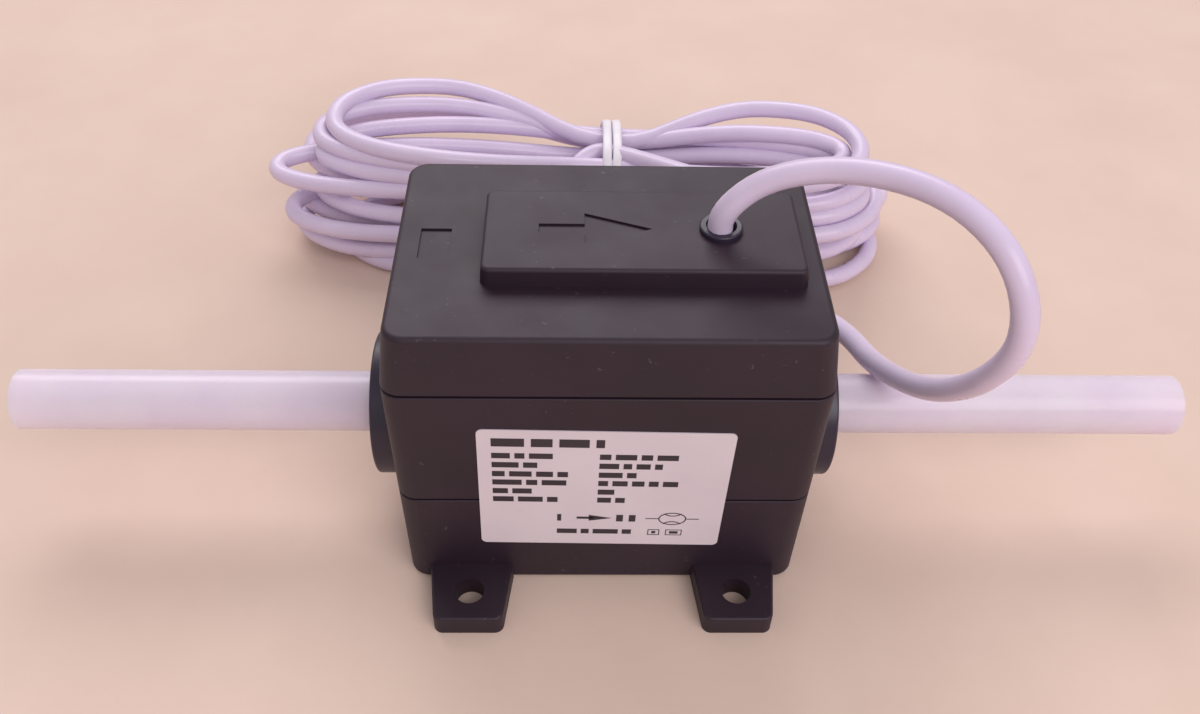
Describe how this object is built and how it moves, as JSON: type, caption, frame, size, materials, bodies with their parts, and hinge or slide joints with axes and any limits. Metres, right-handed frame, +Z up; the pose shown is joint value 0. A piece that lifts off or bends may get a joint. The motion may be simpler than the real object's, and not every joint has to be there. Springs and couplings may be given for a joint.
{
  "type": "digital flow switch",
  "caption": "Digital flow switch in a black split plastic case on fixing feet, with a translucent tube end on each side and a grey cable tied in a hank.",
  "frame": {"origin": "centre of the footprint, on the plane the feet rest on", "axes": "+X along the flow from inlet to outlet, +Y towards the hank of cable, +Z up"},
  "size_m": [0.183, 0.1237, 0.0713],
  "materials": {
    "case_black": "fine moulded texture, satin",
    "collar_black": "turned, smooth",
    "seal_rubber": "matt",
    "tube_clear": "milky translucent fluoropolymer",
    "fluoropolymer": "natural white",
    "steel": "plain",
    "piezo": "silvered ceramic",
    "board_green": "solder resist",
    "chip_black": "moulded",
    "tin": "tinned",
    "cable_grey": "smooth extruded sheath, satin",
    "core_brown": "smooth",
    "core_black": "smooth",
    "core_white": "smooth",
    "core_blue": "smooth",
    "label_silver": "satin silver film",
    "tie_white": "smooth"
  },
  "bodies": {
    "root": {"upper_cover": "case_black", "middle_case": "case_black", "lower_case": "case_black", "upper_gasket": "seal_rubber", "lower_gasket": "seal_rubber", "case_screws": "steel", "inlet_collar": "collar_black", "outlet_collar": "collar_black", "inlet_seal": "seal_rubber", "outlet_seal": "seal_rubber", "inlet_tube": "tube_clear", "outlet_tube": "tube_clear", "flow_body": "fluoropolymer", "vortex_bar": "fluoropolymer", "sensor_vane": "fluoropolymer", "piezo_element": "piezo", "sensor_seal": "seal_rubber", "sensor_clamp": "steel", "sensor_clamp_screws": "steel", "sensor_leads": "tin", "circuit_board": "board_green", "board_screws": "steel", "board_chips": "chip_black", "board_capacitor": "tin", "board_terminals": "tin", "lead_brown": "core_brown", "lead_black": "core_black", "lead_white": "core_white", "lead_blue": "core_blue", "cable_bush": "collar_black", "cable_clamp": "steel", "cable_clamp_screws": "steel", "label": "label_silver", "cable": "cable_grey", "cable_hank": "cable_grey", "cable_tail": "cable_grey", "twist_tie": "tie_white", "core_brown": "core_brown", "core_black": "core_black", "core_white": "core_white", "core_blue": "core_blue", "core_tips": "tin"}
  },
  "joints": []
}
